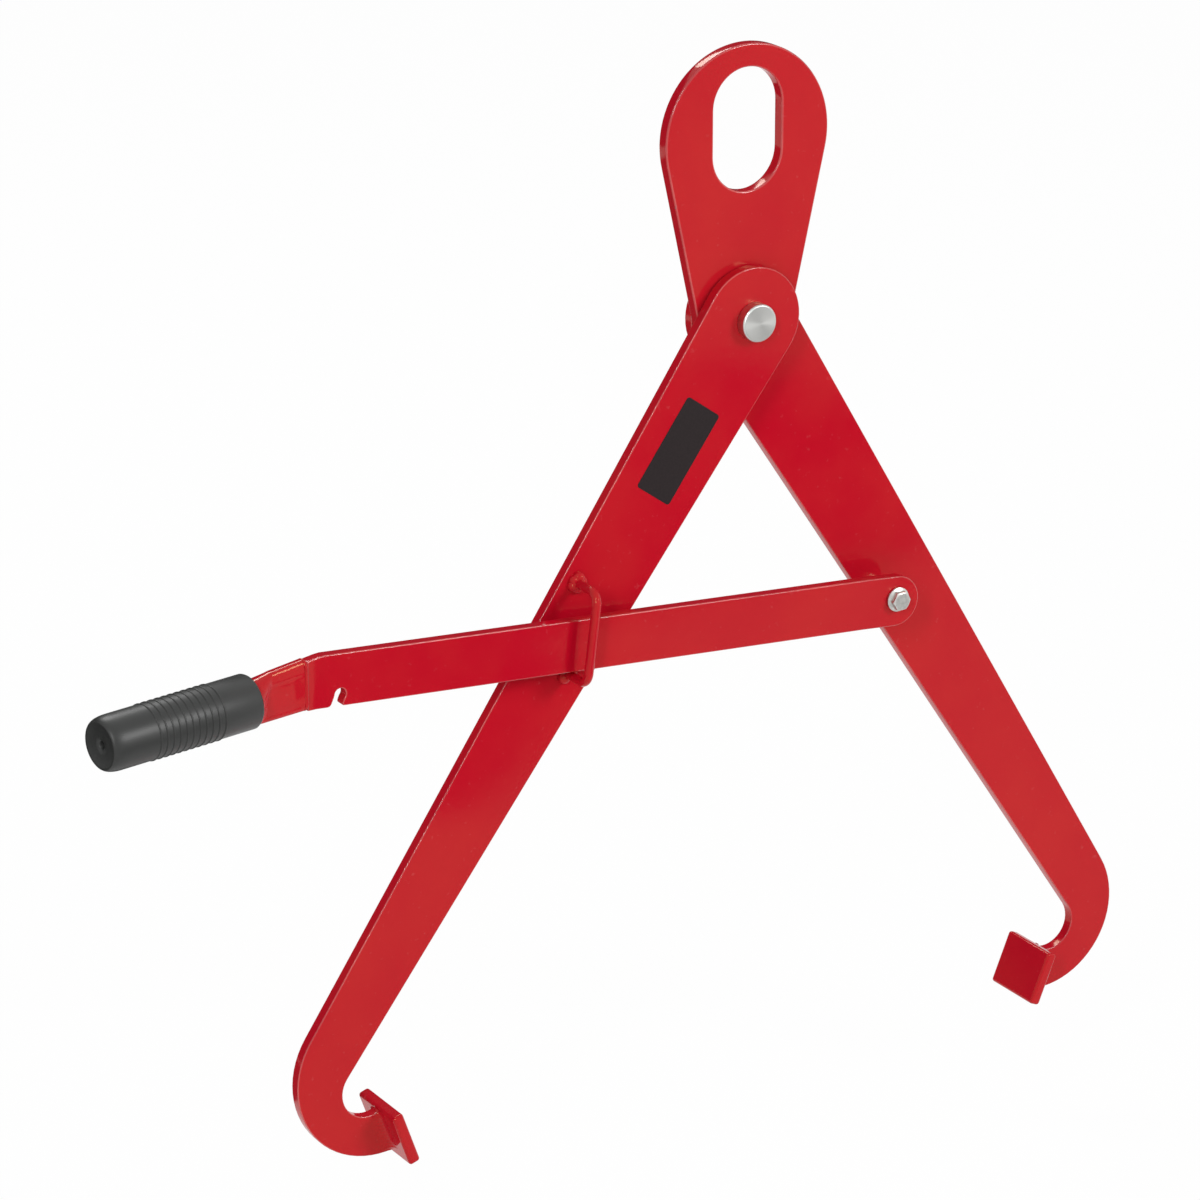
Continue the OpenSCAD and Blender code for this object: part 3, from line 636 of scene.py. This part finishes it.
def white_floor():
    """A floor that reads as white paper and keeps a faint shadow."""
    material, tree, _ = new_finish("white_studio_floor")
    paper = add(tree, "ShaderNodeBsdfDiffuse", {"Color": linear("#f4f4f4")})
    glow = add(tree, "ShaderNodeEmission", {"Color": (1, 1, 1, 1), "Strength": 1.0})
    # The last 3% is lit paper, which the shadow falls on
    amount = add(tree, "ShaderNodeMath", {0: background_ray(tree), 1: 0.97}, operation="MULTIPLY")
    mix = add(tree, "ShaderNodeMixShader", {0: amount.outputs[0], 1: paper.outputs[0], 2: glow.outputs[0]})
    add(tree, "ShaderNodeOutputMaterial", {"Surface": mix.outputs[0]})
    return material


# The tongs hang from the lug, and their tips come down by 57 mm when they close
floor_half, floor_clear = 12, 0.071
floor_z = cad_box[0][2] - floor_clear
floor_mesh = bpy.data.meshes.new("studio_floor")
floor_mesh.from_pydata([(sx * floor_half, sy * floor_half, floor_z)
                        for sx, sy in ((-1, -1), (1, -1), (1, 1), (-1, 1))], [], [(0, 1, 2, 3)])
floor_mesh.materials.append(white_floor())
floor = bpy.data.objects.new("studio_floor", floor_mesh)
bpy.context.scene.collection.objects.link(floor)

# Grey cards stand where only the gloss sees them, and keep its reflections deep


def grey_card():
    """Card that shows as an even dark grey in a reflection."""
    material, tree, _ = new_finish("dark_grey_card")
    glow = add(tree, "ShaderNodeEmission", {"Color": linear("#404040"), "Strength": 1.0})
    add(tree, "ShaderNodeOutputMaterial", {"Surface": glow.outputs[0]})
    return material


card_finish, card_lift = grey_card(), 0.002
card_z = floor_z + card_lift
for name, corners in (
        ("front_card", [(0.16, -0.68, card_z), (0.50, -0.92, card_z), (0.84, -1.00, card_z),
                        (1.22, -1.25, card_z), (0.95, -1.77, card_z), (-0.15, -0.97, card_z)]),
        ("left_card", [(-2.15, 0.2, card_z), (-0.15, 0.2, card_z),
                       (-0.15, 1.7, card_z), (-2.15, 1.7, card_z)]),
        ("back_card", [(-3.2, 2.6, card_z), (3.2, 2.6, card_z), (3.2, 2.6, 1.7), (-3.2, 2.6, 1.7)])):
    card_mesh = bpy.data.meshes.new(name)
    card_mesh.from_pydata(corners, [], [range(len(corners))])
    card_mesh.materials.append(card_finish)
    card = bpy.data.objects.new(name, card_mesh)
    card.visible_camera = card.visible_diffuse = card.visible_shadow = False
    bpy.context.scene.collection.objects.link(card)

world = bpy.data.worlds.new("studio_air")
world.use_nodes = True
air = world.node_tree
air.nodes.clear()
# White where the background shows, and a plain level of light for the tongs
level = add(air, "ShaderNodeMapRange", {"Value": background_ray(air), "To Min": 0.38, "To Max": 1.0})
sky = add(air, "ShaderNodeBackground", {"Color": (1, 1, 1, 1), "Strength": level.outputs[0]})
add(air, "ShaderNodeOutputWorld", {"Surface": sky.outputs[0]})
bpy.context.scene.world = world

aim = Vector((-0.05, 0, -0.33))
for name, place, power, width, height in (
        ("soft_front_right", (1.8, -2.6, 1.25), 51, 1.1, 1.1),
        ("strip_front_left", (-2.3, -2.0, 1.4), 34, 0.25, 1.6),
        ("soft_back", (0.4, 2.4, 2.1), 34, 1.4, 0.8)):
    lamp = bpy.data.lights.new(name, "AREA")
    lamp.shape = "RECTANGLE"
    lamp.energy = power
    lamp.size = width
    lamp.size_y = height
    holder = bpy.data.objects.new(name, lamp)
    holder.location = place
    holder.rotation_euler = (Vector(place) - aim).to_track_quat("Z", "Y").to_euler()
    bpy.context.scene.collection.objects.link(holder)

camera = bpy.data.objects.new("photo_camera", bpy.data.cameras.new("photo_camera"))
camera.data.lens = 147.9
camera.data.sensor_width = 36
right, up, back = (0.8580, -0.5136, 0), (0.1720, 0.2873, 0.9423), (-0.4840, -0.8085, 0.3349)
eye = Matrix.Translation((-1.6357, -2.5553, 0.7467))
camera.matrix_world = eye @ Matrix((right, up, back)).transposed().to_4x4()
bpy.context.scene.collection.objects.link(camera)
bpy.context.scene.camera = camera
bpy.context.scene.view_settings.view_transform = "Standard"
